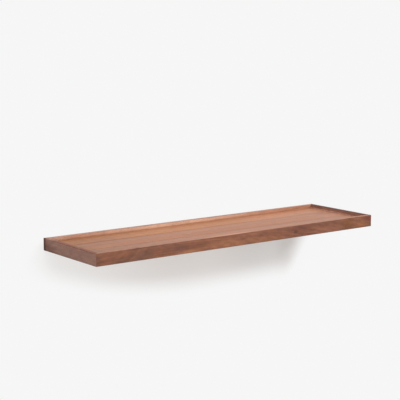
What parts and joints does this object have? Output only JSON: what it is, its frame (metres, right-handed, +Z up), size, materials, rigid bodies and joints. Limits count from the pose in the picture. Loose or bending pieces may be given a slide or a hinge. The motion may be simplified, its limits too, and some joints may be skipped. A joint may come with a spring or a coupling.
{
  "type": "wall shelf",
  "caption": "Floating wall shelf: a long shallow wooden tray with a low mitred lip all round, on hidden steel rods.",
  "frame": {"origin": "centre of the shelf's back face, where the hidden wall plate lies against the wall: mid length, mid height, on the wall plane", "axes": "+X along the shelf to the right as seen from the room, +Y into the wall, +Z up; the front edge faces -Y"},
  "size_m": [0.915, 0.2963, 0.032],
  "materials": {
    "walnut": "satin oil",
    "beech": "sanded, unfinished",
    "black_steel": "black powder coat",
    "zinc_steel": "zinc plated",
    "brass": "turned",
    "nylon": "moulded"
  },
  "bodies": {
    "bracket": {"wall_plate": "black_steel", "left_rod": "black_steel", "middle_rod": "black_steel", "right_rod": "black_steel", "wall_screw_1": "zinc_steel", "wall_screw_2": "zinc_steel", "wall_screw_3": "zinc_steel", "wall_screw_4": "zinc_steel", "wall_plug_1": "nylon", "wall_plug_2": "nylon", "wall_plug_3": "nylon", "wall_plug_4": "nylon"},
    "shelf": {"front_rail": "walnut", "back_rail": "walnut", "left_end_rail": "walnut", "right_end_rail": "walnut", "back_stave": "walnut", "middle_stave": "walnut", "front_stave": "walnut", "front_tongue": "beech", "left_tongue": "beech", "right_tongue": "beech", "back_left_tongue": "beech", "back_right_tongue": "beech", "front_left_key": "beech", "front_right_key": "beech", "back_left_key": "beech", "back_right_key": "beech", "left_insert": "brass", "right_insert": "brass"},
    "left_lock": {"left_lock_screw": "zinc_steel"},
    "right_lock": {"right_lock_screw": "zinc_steel"}
  },
  "joints": [
    {"name": "shelf_slide", "type": "slide", "parent": "bracket", "child": "shelf", "axis": [0, -1, 0], "range_m": [0, 0.17]},
    {"name": "left_lock_slide", "type": "slide", "parent": "shelf", "child": "left_lock", "axis": [0, 0, -1], "range_m": [0, 0.003]},
    {"name": "right_lock_slide", "type": "slide", "parent": "shelf", "child": "right_lock", "axis": [0, 0, -1], "range_m": [0, 0.003]}
  ]
}
